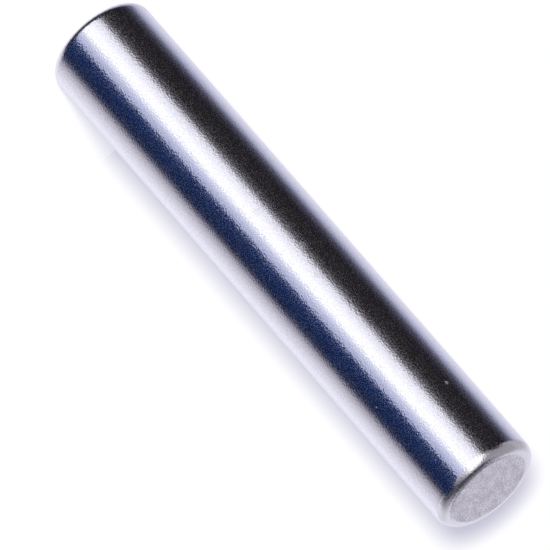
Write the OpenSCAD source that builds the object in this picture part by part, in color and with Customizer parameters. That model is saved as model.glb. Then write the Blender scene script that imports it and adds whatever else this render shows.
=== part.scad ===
// Dowel pin: a ground cylinder with a flat face and a rounded edge at either
// end. It stands on one end, with its axis along +Z and the centre of its foot
// at the origin. All sizes are in millimetres.

/* [Shank] */
// Ground diameter of the pin
pin_d = 8; // [4:0.5:16]
// Overall length, from the foot to the top face
pin_l = 45; // [16:1:100]

/* [Ends] */
// Radius that rounds the edge of the foot
foot_r = 0.8; // [0.3:0.05:1.2]
// Radius that rounds the edge of the top face
top_r = 0.8; // [0.3:0.05:1.2]

/* [Finish] */
// Facets round a full circle in the preview
round_facets = 96; // [48:8:192]

/* [Hidden] */

shank_r = pin_d / 2;

// The straight shank runs between the two roundings
shank_top_z = pin_l - top_r;
shank_l = shank_top_z - foot_r;

// Radii of the two flats, which are also where the roundings are centred
foot_face_r = shank_r - foot_r;
top_face_r = shank_r - top_r;

// Half section of the full-diameter shank
module shank_section() {
    translate([0, foot_r])
        square([shank_r, shank_l]);
}

// Half section of one end, from its flat at zero height to the full diameter:
// a flat of radius face_r that runs out into a quarter round of radius edge_r
module end_section(face_r, edge_r) {
    square([face_r, edge_r]);
    translate([face_r, edge_r])
        intersection() {
            circle(r = edge_r);
            translate([0, -edge_r])
                square([edge_r, edge_r]);
        }
}

// The pin in one piece, turned from its half section
module dowel_pin() {
    color("silver")
        rotate_extrude($fn = round_facets)
            union() {
                shank_section();
                end_section(foot_face_r, foot_r);
                translate([0, pin_l])
                    mirror([0, 1])
                        end_section(top_face_r, top_r);
            }
}

dowel_pin();
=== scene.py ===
"""A hardened steel dowel pin, standing on its flat end, with its finishes, its camera and its studio.

All sizes in the classes are in millimetres and all angles in degrees, unless a name says otherwise.
"""

import logging
import math
from dataclasses import dataclass, field
from enum import Enum
from typing import Callable

import bpy
from mathutils import Matrix, Vector


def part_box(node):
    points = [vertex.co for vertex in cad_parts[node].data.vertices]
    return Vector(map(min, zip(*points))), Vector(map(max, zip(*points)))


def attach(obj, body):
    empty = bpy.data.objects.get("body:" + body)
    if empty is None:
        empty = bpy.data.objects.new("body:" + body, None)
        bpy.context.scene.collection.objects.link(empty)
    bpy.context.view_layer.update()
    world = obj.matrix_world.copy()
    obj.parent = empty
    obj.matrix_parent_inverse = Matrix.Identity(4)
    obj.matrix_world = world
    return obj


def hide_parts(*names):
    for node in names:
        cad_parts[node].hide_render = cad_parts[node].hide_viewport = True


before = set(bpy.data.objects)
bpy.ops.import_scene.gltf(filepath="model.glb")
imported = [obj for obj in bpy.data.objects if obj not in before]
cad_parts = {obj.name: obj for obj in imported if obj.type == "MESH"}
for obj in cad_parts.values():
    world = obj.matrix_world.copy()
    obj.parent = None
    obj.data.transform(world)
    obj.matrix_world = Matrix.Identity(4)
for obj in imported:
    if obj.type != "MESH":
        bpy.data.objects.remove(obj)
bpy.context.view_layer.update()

MM = 0.001
CLOSE = 1e-3  # places on the mesh within this many millimetres of each other count as the same
NOISE_SPAN = {"From Min": 0.3, "From Max": 0.7}  # nearly all the values of a noise texture lie here
LOG = logging.getLogger("dowel_pin")


# ---------------------------------------------------------------------------------------------- helpers


def linear(colour: str) -> tuple[float, float, float, float]:
    """Turn an sRGB hex colour into the linear colour that shader sockets take.

    Args:
        colour: six hex digits after a hash, such as "#C0C4CE".

    Returns:
        Linear red, green and blue, and an alpha of 1.
    """
    channels = (int(colour[i:i + 2], 16) / 255 for i in (1, 3, 5))
    red, green, blue = (c / 12.92 if c <= 0.04045 else ((c + 0.055) / 1.055) ** 2.4 for c in channels)
    return red, green, blue, 1.0


def add_node(tree: bpy.types.NodeTree, kind: str, inputs: dict | None = None, **settings) -> bpy.types.Node:
    """Add one node, with its settings, its values and its links.

    Args:
        tree: the node tree that gets the node.
        kind: the node's type name.
        inputs: what goes into each socket, by the socket's name or number: a value, a socket to link
            from, or a node whose first live output is linked.
        **settings: the node's own properties.

    Returns:
        The new node.
    """
    node = tree.nodes.new(kind)
    for name, value in settings.items():
        setattr(node, name, value)
    for key, value in (inputs or {}).items():
        socket = node.inputs[key] if isinstance(key, int) else next(
            s for s in node.inputs if s.name == key and s.enabled)
        if isinstance(value, bpy.types.Node):
            value = next(s for s in value.outputs if s.enabled)
        if isinstance(value, bpy.types.NodeSocket):
            tree.links.new(value, socket)
        else:
            socket.default_value = value
    return node


def new_material(name: str) -> bpy.types.Material:
    """Make an empty node material with that name."""
    material = bpy.data.materials.new(name)
    material.use_nodes = True
    material.node_tree.nodes.clear()
    return material


def start_object(name: str, add: Callable[[], object]) -> bpy.types.Object:
    """Deselect everything, add one primitive and give it its name.

    Args:
        name: the name of the new object and of its mesh.
        add: the call that adds the primitive.

    Returns:
        The new object, which is then the active and only selected one.
    """
    bpy.ops.object.select_all(action="DESELECT")
    add()
    made = bpy.context.object
    made.name = made.data.name = name
    return made


def select_nothing(mesh: bpy.types.Mesh) -> None:
    """Deselect every face, edge and vertex of a mesh, in object mode."""
    for part in (mesh.polygons, mesh.edges, mesh.vertices):
        part.foreach_set("select", [False] * len(part))


def seen_rays(tree: bpy.types.NodeTree) -> bpy.types.Node:
    """Tell the rays that show a thing from the rays by which it only lights others.

    Args:
        tree: the node tree that asks.

    Returns:
        A node whose value is 1 for rays from the camera, from a mirror and through glass, and 0 otherwise.
    """
    path = add_node(tree, "ShaderNodeLightPath")
    seen = path.outputs["Is Camera Ray"]
    for ray in ("Is Glossy Ray", "Is Transmission Ray"):
        seen = add_node(tree, "ShaderNodeMath", {
            0: seen, 1: path.outputs[ray]}, operation="ADD", use_clamp=True)
    return seen


# ------------------------------------------------------------------------------------------- the finishes


class Surface(Enum):
    """The two surfaces of the pin, by their material slot on the mesh."""

    GROUND = 0
    END_FACE = 1


@dataclass(frozen=True)
class Mark:
    """A small handling mark on the shank: a nick, or a smudge where it has no depth.

    The size is its radius, and the core is the share of that within which it is at its full strength.
    The turn runs from 0 on the camera's side towards -X.
    """

    height: float
    turn: float
    size: float
    depth: float = 0.0
    dullness: float = 0.35
    core: float = 0.3

    def place(self, radius: float) -> Vector:
        """Give the mark's place on a shank of that radius, in metres."""
        turn = math.radians(self.turn)
        return Vector((-math.sin(turn) * radius, -math.cos(turn) * radius, self.height)) * MM


@dataclass(frozen=True)
class GroundShank:
    """Hardened bearing steel, centreless ground and lapped: a bright mirror, peppered with duller grains.

    The grains glint in a dark reflection and grey a bright one. With the lines that the wheel leaves round
    the pin, they break the edges of what it mirrors into specks.
    """

    tone: str = "#EAEAED"
    tone_worn: str = "#DDDDE1"
    roughness: float = 0.05
    roughness_spread: float = 0.015
    scuff_roughness: float = 0.235  # what a grain's dull spot adds to the polish
    scuff_sharpness: float = 1.2
    grit: float = 0.065
    grit_span: tuple[float, float] = (0.35, 0.62)  # noise values, from clear polish to a grain's middle
    grain: float = 0.12
    grain_depth: float = 0.008
    line_pitch: float = 0.22
    line_depth: float = 0.0003
    line_squeeze: float = 0.06  # the lines' width as a share of their length
    haze: float = 2.4
    marks: tuple[Mark, ...] = (
        Mark(38.3, 41.0, 0.17, 0.03),
        Mark(33.6, -14.4, 0.09, 0.008),
        Mark(36.4, -31.9, 0.09, 0.008),
        Mark(39.5, -40.5, 0.09, 0.008),
        Mark(27.5, 56.5, 0.10, 0.01),
        Mark(19.7, 8.3, 0.5, dullness=0.12),
        Mark(23.7, 19.9, 0.45, dullness=0.12),
        Mark(26.2, 11.4, 0.4, dullness=0.1),
    )

    def build(self, radius: float) -> bpy.types.Material:
        """Make the material.

        Args:
            radius: the shank's radius, on which the marks lie.

        Returns:
            The material.
        """
        material = new_material("hardened_steel_centreless_ground")
        tree = material.node_tree
        place = add_node(tree, "ShaderNodeTexCoord").outputs["Object"]

        # The grain of the wheel, drawn at 0.06 to 0.12 mm because the real 0.01 mm grit would not show.
        grit = add_node(tree, "ShaderNodeTexNoise", {
            "Vector": place, "Scale": 1 / (self.grit * MM), "Detail": 0.0})
        grit = add_node(tree, "ShaderNodeMapRange", {
            "Value": grit, "From Min": self.grit_span[0], "From Max": self.grit_span[1]})
        grain = add_node(tree, "ShaderNodeTexNoise", {
            "Vector": place, "Scale": 1 / (self.grain * MM), "Detail": 0.0})
        # Grinding lines run round the pin, so the pattern keeps its pitch along the axis alone.
        squeeze = (self.line_squeeze, self.line_squeeze, 1.0)
        round_pin = add_node(tree, "ShaderNodeMapping", {"Vector": place, "Scale": squeeze})
        lines = add_node(tree, "ShaderNodeTexNoise", {
            "Vector": round_pin, "Scale": 1 / (self.line_pitch * MM), "Detail": 3.0, "Roughness": 0.65})
        haze = add_node(tree, "ShaderNodeTexNoise", {
            "Vector": place, "Scale": 1 / (self.haze * MM), "Detail": 4.0, "Roughness": 0.6})

        rough = add_node(tree, "ShaderNodeMapRange", {
            "Value": haze, **NOISE_SPAN,
            "To Min": self.roughness - self.roughness_spread,
            "To Max": self.roughness + self.roughness_spread})
        # Each grain of the wheel leaves a duller spot.
        scuff = add_node(tree, "ShaderNodeMath", {0: grit, 1: self.scuff_sharpness}, operation="POWER")
        rough = add_node(tree, "ShaderNodeMath", {
            0: scuff, 1: self.scuff_roughness, 2: rough}, operation="MULTIPLY_ADD")
        tone = add_node(tree, "ShaderNodeMix", {
            "Factor": grit, "A": linear(self.tone), "B": linear(self.tone_worn)}, data_type="RGBA")

        height = add_node(tree, "ShaderNodeMath", {
            0: grain, 1: self.grain_depth * MM}, operation="MULTIPLY")
        height = add_node(tree, "ShaderNodeMath", {
            0: lines, 1: self.line_depth * MM, 2: height}, operation="MULTIPLY_ADD")
        for mark in self.marks:
            reach = add_node(tree, "ShaderNodeVectorMath", {
                0: place, 1: mark.place(radius)}, operation="DISTANCE").outputs["Value"]
            pit = add_node(tree, "ShaderNodeMapRange", {
                "Value": reach, "From Min": mark.core * mark.size * MM, "From Max": mark.size * MM,
                "To Min": 1.0, "To Max": 0.0}, interpolation_type="SMOOTHSTEP")
            rough = add_node(tree, "ShaderNodeMath", {
                0: pit, 1: mark.dullness, 2: rough}, operation="MULTIPLY_ADD")
            if mark.depth:
                height = add_node(tree, "ShaderNodeMath", {
                    0: pit, 1: -mark.depth * MM, 2: height}, operation="MULTIPLY_ADD")

        bump = add_node(tree, "ShaderNodeBump", {"Height": height, "Strength": 1.0, "Distance": 1.0})
        steel = add_node(tree, "ShaderNodeBsdfPrincipled", {
            "Base Color": tone, "Metallic": 1.0, "Roughness": rough, "Normal": bump})
        add_node(tree, "ShaderNodeOutputMaterial", {"Surface": steel})
        return material


@dataclass(frozen=True)
class GroundEndFace:
    """The same steel, cut off and tumbled: a satin grey, a little mottled, with no clear mirror image."""

    tone: str = "#FCFAFE"
    tone_pit: str = "#D1CED3"
    roughness: float = 0.42
    roughness_spread: float = 0.05
    grain: float = 0.1
    grain_depth: float = 0.02
    grain_squeeze: float = 0.45  # the grains' width as a share of their length
    patch: float = 0.5
    mottle_span: tuple[float, float] = (0.15, 0.36)  # noise values, from a pit to the open surface

    def build(self) -> bpy.types.Material:
        """Make the material and return it."""
        material = new_material("hardened_steel_tumbled_end_face")
        tree = material.node_tree
        place = add_node(tree, "ShaderNodeTexCoord").outputs["Object"]
        # Tumbling leaves pits of about 0.02 mm, drawn here at 0.1 mm because finer ones would not show.
        # The cut-off wheel ran along Y, so the pattern is drawn out that way.
        squeeze = (1.0, self.grain_squeeze, 1.0)
        cut = add_node(tree, "ShaderNodeMapping", {"Vector": place, "Scale": squeeze})
        grain = add_node(tree, "ShaderNodeTexNoise", {
            "Vector": cut, "Scale": 1 / (self.grain * MM), "Detail": 1.0, "Roughness": 0.5})
        patches = add_node(tree, "ShaderNodeTexNoise", {
            "Vector": cut, "Scale": 1 / (self.patch * MM), "Detail": 3.0, "Roughness": 0.6})
        mottle = add_node(tree, "ShaderNodeMath", {0: grain, 1: patches}, operation="MULTIPLY")
        mottle = add_node(tree, "ShaderNodeMapRange", {
            "Value": mottle, "From Min": self.mottle_span[0], "From Max": self.mottle_span[1]},
            interpolation_type="SMOOTHSTEP")
        tone = add_node(tree, "ShaderNodeMix", {
            "Factor": mottle, "A": linear(self.tone_pit), "B": linear(self.tone)}, data_type="RGBA")
        rough = add_node(tree, "ShaderNodeMapRange", {
            "Value": patches, **NOISE_SPAN,
            "To Min": self.roughness - self.roughness_spread,
            "To Max": self.roughness + self.roughness_spread})
        bump = add_node(tree, "ShaderNodeBump", {
            "Height": grain, "Strength": 1.0, "Distance": self.grain_depth * MM})
        steel = add_node(tree, "ShaderNodeBsdfPrincipled", {
            "Base Color": tone, "Metallic": 1.0, "Roughness": rough, "Normal": bump})
        add_node(tree, "ShaderNodeOutputMaterial", {"Surface": steel})
        return material


# ------------------------------------------------------------------------------------------------ the pin


@dataclass
class DowelPin:
    """The pin, turned from one cylinder: a straight shank, with a rounded edge and a flat at either end."""

    node: str = "dowel_pin"
    foot_radius: float = 0.8
    top_radius: float = 0.8
    sides: int = 256
    edge_segments: int = 16
    support: float = 0.12  # from a rounding to the ring that is cut beside it
    rim_width: float = 0.2
    rim_drop: float = 0.012
    rim_rings: int = 4
    flat_rings: tuple[float, ...] = (0.08, 1.2, 1.2)  # widths of the rings inside the rim
    satin_inset: float = 0.1  # from a rounding to the satin
    smooth_angle: float = 40.0
    ground: GroundShank = field(default_factory=GroundShank)
    end_face: GroundEndFace = field(default_factory=GroundEndFace)

    def __post_init__(self) -> None:
        """Read the radius and the length from the CAD solid's box."""
        low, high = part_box(self.node)
        self.radius = (high.x - low.x) / 2 / MM
        self.length = (high.z - low.z) / MM

    def select_ring(self, pin: bpy.types.Object, height: float) -> None:
        """Select the ring of edges at one height, in edit mode.

        Args:
            pin: the object in edit mode.
            height: height of the ring.
        """
        bpy.ops.object.mode_set(mode="OBJECT")
        mesh = pin.data
        select_nothing(mesh)
        for edge in mesh.edges:
            edge.select = all(abs(mesh.vertices[i].co.z / MM - height) < CLOSE for i in edge.vertices)
        bpy.ops.object.mode_set(mode="EDIT")
        bpy.ops.mesh.select_mode(type="EDGE")

    def cut_ring(self, height: float) -> None:
        """Cut a ring of edges round the pin at that height, in edit mode."""
        bpy.ops.mesh.select_all(action="SELECT")
        bpy.ops.mesh.bisect(plane_co=(0, 0, height * MM), plane_no=(0, 0, 1), use_fill=False)

    def inset_cap(self, pin: bpy.types.Object, height: float, widths: tuple[float, ...]) -> None:
        """Inset one end's flat face, ring by ring.

        Args:
            pin: the object in edit mode.
            height: height of the flat face.
            widths: width of each new ring, from the outside in.
        """
        bpy.ops.object.mode_set(mode="OBJECT")
        select_nothing(pin.data)
        level = (face for face in pin.data.polygons if abs(face.center.z / MM - height) < CLOSE)
        max(level, key=lambda face: face.area).select = True
        bpy.ops.object.mode_set(mode="EDIT")
        bpy.ops.mesh.select_mode(type="FACE")
        for width in widths:
            bpy.ops.mesh.inset(thickness=width * MM, depth=0)

    def build_mesh(self) -> bpy.types.Object:
        """Turn the cylinder into the pin.

        Returns:
            The pin, in object mode, at the origin.
        """
        pin = start_object("ground_dowel_pin", lambda: bpy.ops.mesh.primitive_cylinder_add(
            vertices=self.sides, radius=self.radius * MM, depth=self.length * MM, end_fill_type="NGON",
            location=(0, 0, self.length / 2 * MM)))
        bpy.ops.object.transform_apply(location=True, rotation=True, scale=True)
        bpy.ops.object.mode_set(mode="EDIT")

        # Both edges become quarter rounds. A ring cut close beside each keeps the shank's normals true.
        for height, edge, inwards in ((0.0, self.foot_radius, 1), (self.length, self.top_radius, -1)):
            self.select_ring(pin, height)
            bpy.ops.mesh.bevel(offset=edge * MM, segments=self.edge_segments, profile=0.5)
            self.cut_ring(height + inwards * (edge + self.support))

        # The flats get rings for the satin and for the rim that tumbling rolls off into the rounding.
        for height in (0.0, self.length):
            self.inset_cap(pin, height, (self.rim_width / self.rim_rings,) * self.rim_rings + self.flat_rings)
        bpy.ops.object.mode_set(mode="OBJECT")
        self.roll_off_rim(pin)
        return pin

    def roll_off_rim(self, pin: bpy.types.Object) -> None:
        """Roll off the rim of the top face, and lower the rounding outside it by as much.

        The drop grows with the square of the distance from the flat, and fades out down the rounding.

        Args:
            pin: the object, in object mode.
        """
        flat_radius = self.radius - self.top_radius - self.rim_width
        for vertex in pin.data.vertices:
            outside = vertex.co.xy.length / MM - flat_radius
            above = (vertex.co.z / MM - self.length + self.top_radius) / self.top_radius
            if outside > 0 and above > 0:
                vertex.co.z -= above * self.rim_drop * min(outside / self.rim_width, 1.0) ** 2 * MM

    def dress(self, pin: bpy.types.Object) -> None:
        """Give the ground surfaces and the end faces their materials.

        Args:
            pin: the finished mesh.
        """
        for material in (self.ground.build(self.radius), self.end_face.build()):
            pin.data.materials.append(material)
        for face in pin.data.polygons:
            edge = self.top_radius if face.center.z > self.length / 2 * MM else self.foot_radius
            reach = max(pin.data.vertices[i].co.xy.length for i in face.vertices) / MM
            satin = reach < self.radius - edge - self.satin_inset + CLOSE
            face.material_index = (Surface.END_FACE if satin else Surface.GROUND).value

    def build(self) -> bpy.types.Object:
        """Build the pin, dress it and put it in the place of its CAD solid.

        Returns:
            The finished piece.
        """
        pin = self.build_mesh()
        bpy.ops.object.shade_smooth_by_angle(angle=math.radians(self.smooth_angle))
        self.dress(pin)
        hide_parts(self.node)
        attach(pin, "root")
        return pin


# --------------------------------------------------------------------------------------------- the studio


class Wall(Enum):
    """How a card is placed in the light tent."""

    ROUND = "by azimuth round the pin's axis and elevation"
    OVER = "by the angle to the side and the pitch over the top, from the camera's side"


@dataclass(frozen=True)
class Card:
    """One card of the light tent: a colour with four soft edges.

    Each edge is a pair of angles, between which the card fades in or out; without one it goes on to the
    tent's pole. Azimuth and side run from 0 on the camera's side towards -X. Pitch runs from 0 on the
    camera's side over 90 at the top to 180 behind. The slant is how far the bottom and the top edge climb
    for each degree from left to right.
    """

    colour: str
    left: tuple[float, float]
    right: tuple[float, float]
    bottom: tuple[float, float] | None = None
    top: tuple[float, float] | None = None
    slant: float = 0.0
    wall: Wall = Wall.ROUND


@dataclass
class LightTent:
    """A tent of cards that only the metal sees, as the reflections of a product studio."""

    radius: float = 6000.0
    gain: float = 1.42
    lining: str = "#E0DFEA"
    cards: tuple[Card, ...] = (
        # the upper half of the tent is dimmer, and dimmer still on -X
        Card("#C2BFC8", (-190, -185), (185, 190), bottom=(-20, 10)),
        Card("#A4A0A6", (60, 70), (125, 165), bottom=(-22, -5), top=(60, 80)),
        Card("#D6D4DE", (-30, -16), (10, 22), bottom=(146, 158), wall=Wall.OVER),
        # the wall behind is a shade dimmer, on either side
        Card("#CDCBD7", (140, 165), (185, 190)),
        Card("#D0CEDA", (-190, -185), (-165, -140)),
        # the wall on -X falls off into shade towards the black flag
        Card("#616796", (60, 80), (77, 179), top=(-22, 0)),
        Card("#484757", (60, 80), (101, 127), top=(-22, 0)),
        # so does the wall on +X, towards the navy card
        Card("#D2D0DB", (-145, -114), (-80, -60), top=(10, 30)),
        Card("#655967", (-124, -61), (-80, -60), top=(-15, 10)),
        # grey half shade above the flag, and from side to side over the top
        Card("#86828A", (33, 45), (85, 110), bottom=(-5, 20), top=(70, 85)),
        Card("#8E8B92", (-100, -95), (95, 100), bottom=(78, 92), top=(122, 146), wall=Wall.OVER),
        # softbox over the camera
        Card("#FFFFFF", (-12.3, -3.3), (-1, 27), top=(62, 80)),
        Card("#FFFFFF", (-10, 0), (31, 42), bottom=(-20, -2), top=(52, 72)),
        # black flag on the -X side, with its penumbra
        Card("#524C50", (25, 39.5), (70, 75), top=(0, 20)),
        Card("#18161B", (32, 55), (85, 118), top=(14, 36), slant=-0.35),
        Card("#201D1F", (46, 60), (70, 86), top=(6, 32)),
        # pale blue card, with grey half shade above it and above the navy card
        Card("#A9AECC", (-36, -34), (-23, -3.5), top=(15, 40)),
        Card("#85838E", (-92, -80), (-34, -14), bottom=(15, 42), top=(72, 86)),
        Card("#55535E", (-92, -80), (-64, -44), bottom=(20, 45), top=(72, 86)),
        # navy card, bluer towards its lit edge
        Card("#11192E", (-92.5, -74.5), (-30.7, -29.9), top=(-20, -6), slant=-1.0),
        Card("#112D66", (-109, 34), (-30.7, -29.9), top=(-20, -6), slant=-1.0),
        # black canopy over the top, narrower towards the back
        Card("#38363C", (-66, -50), (12, 24), bottom=(84, 92), top=(104, 116), wall=Wall.OVER),
        Card("#3B3940", (-28, -14), (4, 12), bottom=(95, 100), top=(124, 136), wall=Wall.OVER),
        Card("#545158", (-10, -4), (2, 6), bottom=(110, 120), top=(146, 156), wall=Wall.OVER),
        Card("#3A3840", (-80, -70), (-58, -45), bottom=(62, 75), top=(88, 98), wall=Wall.OVER),
        # dark patch below, in front of the foot: painted shade, the floor's contact shadow as the pin mirrors
        # it
        Card("#2A2A33", (-40, -26), (26, 40), bottom=(-114, -94), top=(-66, -54), wall=Wall.OVER),
    )

    def mask(self, tree: bpy.types.NodeTree, card: Card, across: bpy.types.Node,
             along: bpy.types.Node) -> bpy.types.Node:
        """Draw where one card covers the tent.

        Args:
            tree: the tent's node tree.
            card: the card.
            across: the angle that left and right are measured in.
            along: the angle that bottom and top are measured in.

        Returns:
            A node whose value is 1 on the card, 0 off it and between them in its soft edges.
        """
        if card.slant:
            along = add_node(tree, "ShaderNodeMath", {
                0: across, 1: -card.slant, 2: along}, operation="MULTIPLY_ADD")
        cover = None
        for angle, edge, ends in ((across, card.left, (0.0, 1.0)), (across, card.right, (1.0, 0.0)),
                                  (along, card.bottom, (0.0, 1.0)), (along, card.top, (1.0, 0.0))):
            if edge is None:
                continue
            fade = add_node(tree, "ShaderNodeMapRange", {
                "Value": angle, "From Min": edge[0], "From Max": edge[1],
                "To Min": ends[0], "To Max": ends[1]}, interpolation_type="SMOOTHSTEP")
            cover = fade if cover is None else add_node(
                tree, "ShaderNodeMath", {0: cover, 1: fade}, operation="MULTIPLY")
        return cover

    def build_lining(self) -> bpy.types.Material:
        """Make the tent's glowing lining with all its cards, and return it."""
        material = new_material("light_tent_lining")
        tree = material.node_tree
        place = add_node(tree, "ShaderNodeTexCoord").outputs["Object"]
        # The camera's side is -Y, and angles to the side run towards -X.
        turned = add_node(tree, "ShaderNodeMapping", {"Vector": place, "Scale": (-1.0, -1.0, 1.0)})
        turned = add_node(tree, "ShaderNodeVectorMath", {0: turned}, operation="NORMALIZE")
        side, front, up = add_node(tree, "ShaderNodeSeparateXYZ", {"Vector": turned}).outputs
        angles = {}
        for name, operation, values in (
                ("azimuth", "ARCTAN2", {0: side, 1: front}), ("elevation", "ARCSINE", {0: up}),
                ("side", "ARCSINE", {0: side}), ("pitch", "ARCTAN2", {0: up, 1: front})):
            turn = add_node(tree, "ShaderNodeMath", values, operation=operation)
            angles[name] = add_node(tree, "ShaderNodeMath", {0: turn}, operation="DEGREES")
        ways = {Wall.ROUND: ("azimuth", "elevation"), Wall.OVER: ("side", "pitch")}
        colour = add_node(tree, "ShaderNodeRGB")
        colour.outputs[0].default_value = linear(self.lining)
        for card in self.cards:
            across, along = (angles[name] for name in ways[card.wall])
            colour = add_node(tree, "ShaderNodeMix", {
                "Factor": self.mask(tree, card, across, along), "A": colour, "B": linear(card.colour)},
                data_type="RGBA")
        glow = add_node(tree, "ShaderNodeEmission", {"Color": colour, "Strength": self.gain})
        add_node(tree, "ShaderNodeOutputMaterial", {"Surface": glow})
        material.cycles.emission_sampling = "NONE"
        return material

    def build(self) -> bpy.types.Object:
        """Hang the tent round the pin, where only mirror-like surfaces see it.

        Returns:
            The tent.
        """
        tent = start_object("light_tent", lambda: bpy.ops.mesh.primitive_uv_sphere_add(
            segments=64, ring_count=32, radius=self.radius * MM))
        tent.data.materials.append(self.build_lining())
        for ray in ("camera", "diffuse", "transmission", "volume_scatter", "shadow"):
            setattr(tent, f"visible_{ray}", False)
        return tent


@dataclass(frozen=True)
class WhitePaint:
    """Matt white paint that shows as plain white wherever no shadow falls on it.

    Its glow, an amount each of red, green and blue light, only tops up what the camera, a mirror or glass
    shows of it, and lights nothing.
    """

    albedo: str
    glow: tuple[float, float, float]
    one_sided: bool = False

    def build(self, name: str) -> bpy.types.Material:
        """Make the paint.

        Args:
            name: the name of the material.

        Returns:
            The material, which can be seen through from behind where it is one-sided.
        """
        material = new_material(name)
        tree = material.node_tree
        paint = add_node(tree, "ShaderNodeBsdfDiffuse", {"Color": linear(self.albedo)})
        glow = add_node(tree, "ShaderNodeEmission", {
            "Color": (*self.glow, 1.0), "Strength": seen_rays(tree)})
        surface = add_node(tree, "ShaderNodeAddShader", {0: paint, 1: glow})
        if self.one_sided:
            behind = add_node(tree, "ShaderNodeNewGeometry").outputs["Backfacing"]
            clear = add_node(tree, "ShaderNodeBsdfTransparent")
            surface = add_node(tree, "ShaderNodeMixShader", {0: behind, 1: surface, 2: clear})
        add_node(tree, "ShaderNodeOutputMaterial", {"Surface": surface})
        material.cycles.emission_sampling = "NONE"
        return material


@dataclass
class WhiteSet:
    """A white floor under the pin, and a white board that stands close behind it and takes its shadow.

    The board has one side only. From behind it is not there, so that it hides the pin in no view.
    """

    half_width: float = 3000.0
    board_distance: float = 15.0
    floor_paint: WhitePaint = WhitePaint("#FDFDFD", (0.375, 0.38, 0.455))
    board_paint: WhitePaint = WhitePaint("#AFAFAF", (0.39, 0.387, 0.505), one_sided=True)

    def build_floor(self) -> bpy.types.Object:
        """Lay the floor under the pin's foot and return it."""
        floor = start_object("floor", lambda: bpy.ops.mesh.primitive_plane_add(
            size=2 * self.half_width * MM))
        floor.data.materials.append(self.floor_paint.build("matt_white_floor_paint"))
        return floor

    def build_board(self) -> bpy.types.Object:
        """Stand the board behind the pin and return it."""
        board = start_object("backdrop_board", lambda: bpy.ops.mesh.primitive_plane_add(
            size=2 * self.half_width * MM, rotation=(math.pi / 2, 0, 0),
            location=(0, self.board_distance * MM, self.half_width * MM)))
        bpy.ops.object.transform_apply(location=True, rotation=True, scale=True)
        board.data.materials.append(self.board_paint.build("matt_white_board_paint"))
        board.visible_diffuse = board.visible_shadow = False
        return board

    def build(self) -> tuple[bpy.types.Object, ...]:
        """Make the floor and the board.

        Returns:
            The two sheets, hidden from the pin, which mirrors the light tent alone.
        """
        sheets = self.build_floor(), self.build_board()
        for sheet in sheets:
            sheet.visible_glossy = False
        return sheets


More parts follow.
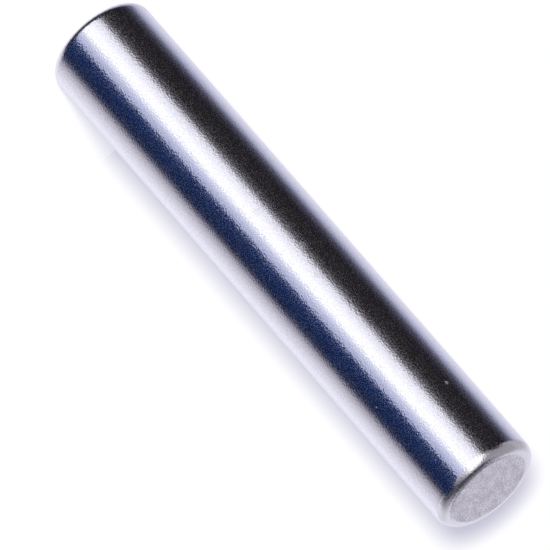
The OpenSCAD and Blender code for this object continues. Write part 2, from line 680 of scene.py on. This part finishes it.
@dataclass
class Daylight:
    """The white room round the set, and the low lamp whose shadow runs along the pin.

    The lamp is a little yellow, so that its shadow is a little blue.
    """

    room: str = "#F2F1FA"
    room_strength: float = 0.3
    lamp_strength: float = 3.6
    lamp_colour: tuple[float, float, float] = (1.0, 1.0, 0.8)
    lamp_elevation: float = 19.9
    lamp_turn: float = 2.3
    lamp_spread: float = 8.1

    def build_room(self) -> None:
        """Make the world: white where it is seen or mirrored, and dim where it only lights the floor."""
        world = bpy.data.worlds.new("white_room")
        world.use_nodes = True
        bpy.context.scene.world = world
        tree = world.node_tree
        tree.nodes.clear()
        seen = seen_rays(tree)
        colour = add_node(tree, "ShaderNodeMix", {
            "Factor": seen, "A": linear(self.room), "B": linear("#FFFFFF")}, data_type="RGBA")
        strength = add_node(tree, "ShaderNodeMapRange", {
            "Value": seen, "To Min": self.room_strength, "To Max": 1.0})
        light = add_node(tree, "ShaderNodeBackground", {"Color": colour, "Strength": strength})
        add_node(tree, "ShaderNodeOutputWorld", {"Surface": light})

    def build_lamp(self) -> bpy.types.Object:
        """Hang the lamp on the camera's side and return it."""
        rise, turn = math.radians(self.lamp_elevation), math.radians(self.lamp_turn)
        source = Vector((-math.sin(turn) * math.cos(rise), -math.cos(turn) * math.cos(rise), math.sin(rise)))
        bpy.ops.object.select_all(action="DESELECT")
        bpy.ops.object.light_add(
            type="SUN", location=source, rotation=source.to_track_quat("Z", "Y").to_euler())
        lamp = bpy.context.object
        lamp.name = "low_lamp"
        lamp.data.energy = self.lamp_strength
        lamp.data.color = self.lamp_colour
        lamp.data.angle = math.radians(self.lamp_spread)
        lamp.visible_glossy = False
        return lamp

    def build(self) -> bpy.types.Object:
        """Make the room and its lamp, and return the lamp."""
        self.build_room()
        return self.build_lamp()


@dataclass
class ViewingCamera:
    """A long lens that looks down at the top face, turned so that the pin lies across the picture.

    It aims at a height on the pin's axis, and then aside from it, to the left and down in the picture.
    """

    elevation: float = 25.0
    roll: float = 48.9
    distance: float = 1400.0
    picture_width: float = 37.67
    aim_height: float = 22.5
    aside: tuple[float, float] = (1.151, 0.788)
    sensor: float = 36.0
    nearest: float = 100.0
    farthest: float = 20000.0

    def build(self) -> bpy.types.Object:
        """Set the camera up and make it the scene's.

        Returns:
            The camera.
        """
        rise, roll = math.radians(self.elevation), math.radians(self.roll)
        towards = Vector((0, -math.cos(rise), math.sin(rise)))
        along_pin = Vector((0, math.sin(rise), math.cos(rise)))
        across_pin = towards.cross(along_pin)
        right = math.cos(roll) * along_pin + math.sin(roll) * across_pin
        up = math.cos(roll) * across_pin - math.sin(roll) * along_pin
        aim = Vector((0, 0, self.aim_height)) - self.aside[0] * right - self.aside[1] * up
        bpy.ops.object.select_all(action="DESELECT")
        bpy.ops.object.camera_add()
        camera = bpy.context.object
        camera.name = "viewing_camera"
        camera.data.sensor_width = self.sensor
        camera.data.lens = self.sensor * self.distance / self.picture_width
        camera.data.clip_start = self.nearest * MM
        camera.data.clip_end = self.farthest * MM
        turn = Matrix((right, up, towards)).transposed().to_4x4()
        camera.matrix_world = Matrix.Translation((aim + towards * self.distance) * MM) @ turn
        bpy.context.scene.camera = camera
        return camera


def main() -> None:
    """Build the pin, its camera and its studio."""
    logging.basicConfig(level=logging.INFO, format="%(message)s")
    bpy.context.scene.view_settings.view_transform = "Standard"
    built = (DowelPin().build(), ViewingCamera().build(), LightTent().build(), *WhiteSet().build(),
             Daylight().build())
    for piece in built:
        LOG.info("%s (%s)", piece.name, piece.type.lower())


if __name__ == "__main__":
    main()
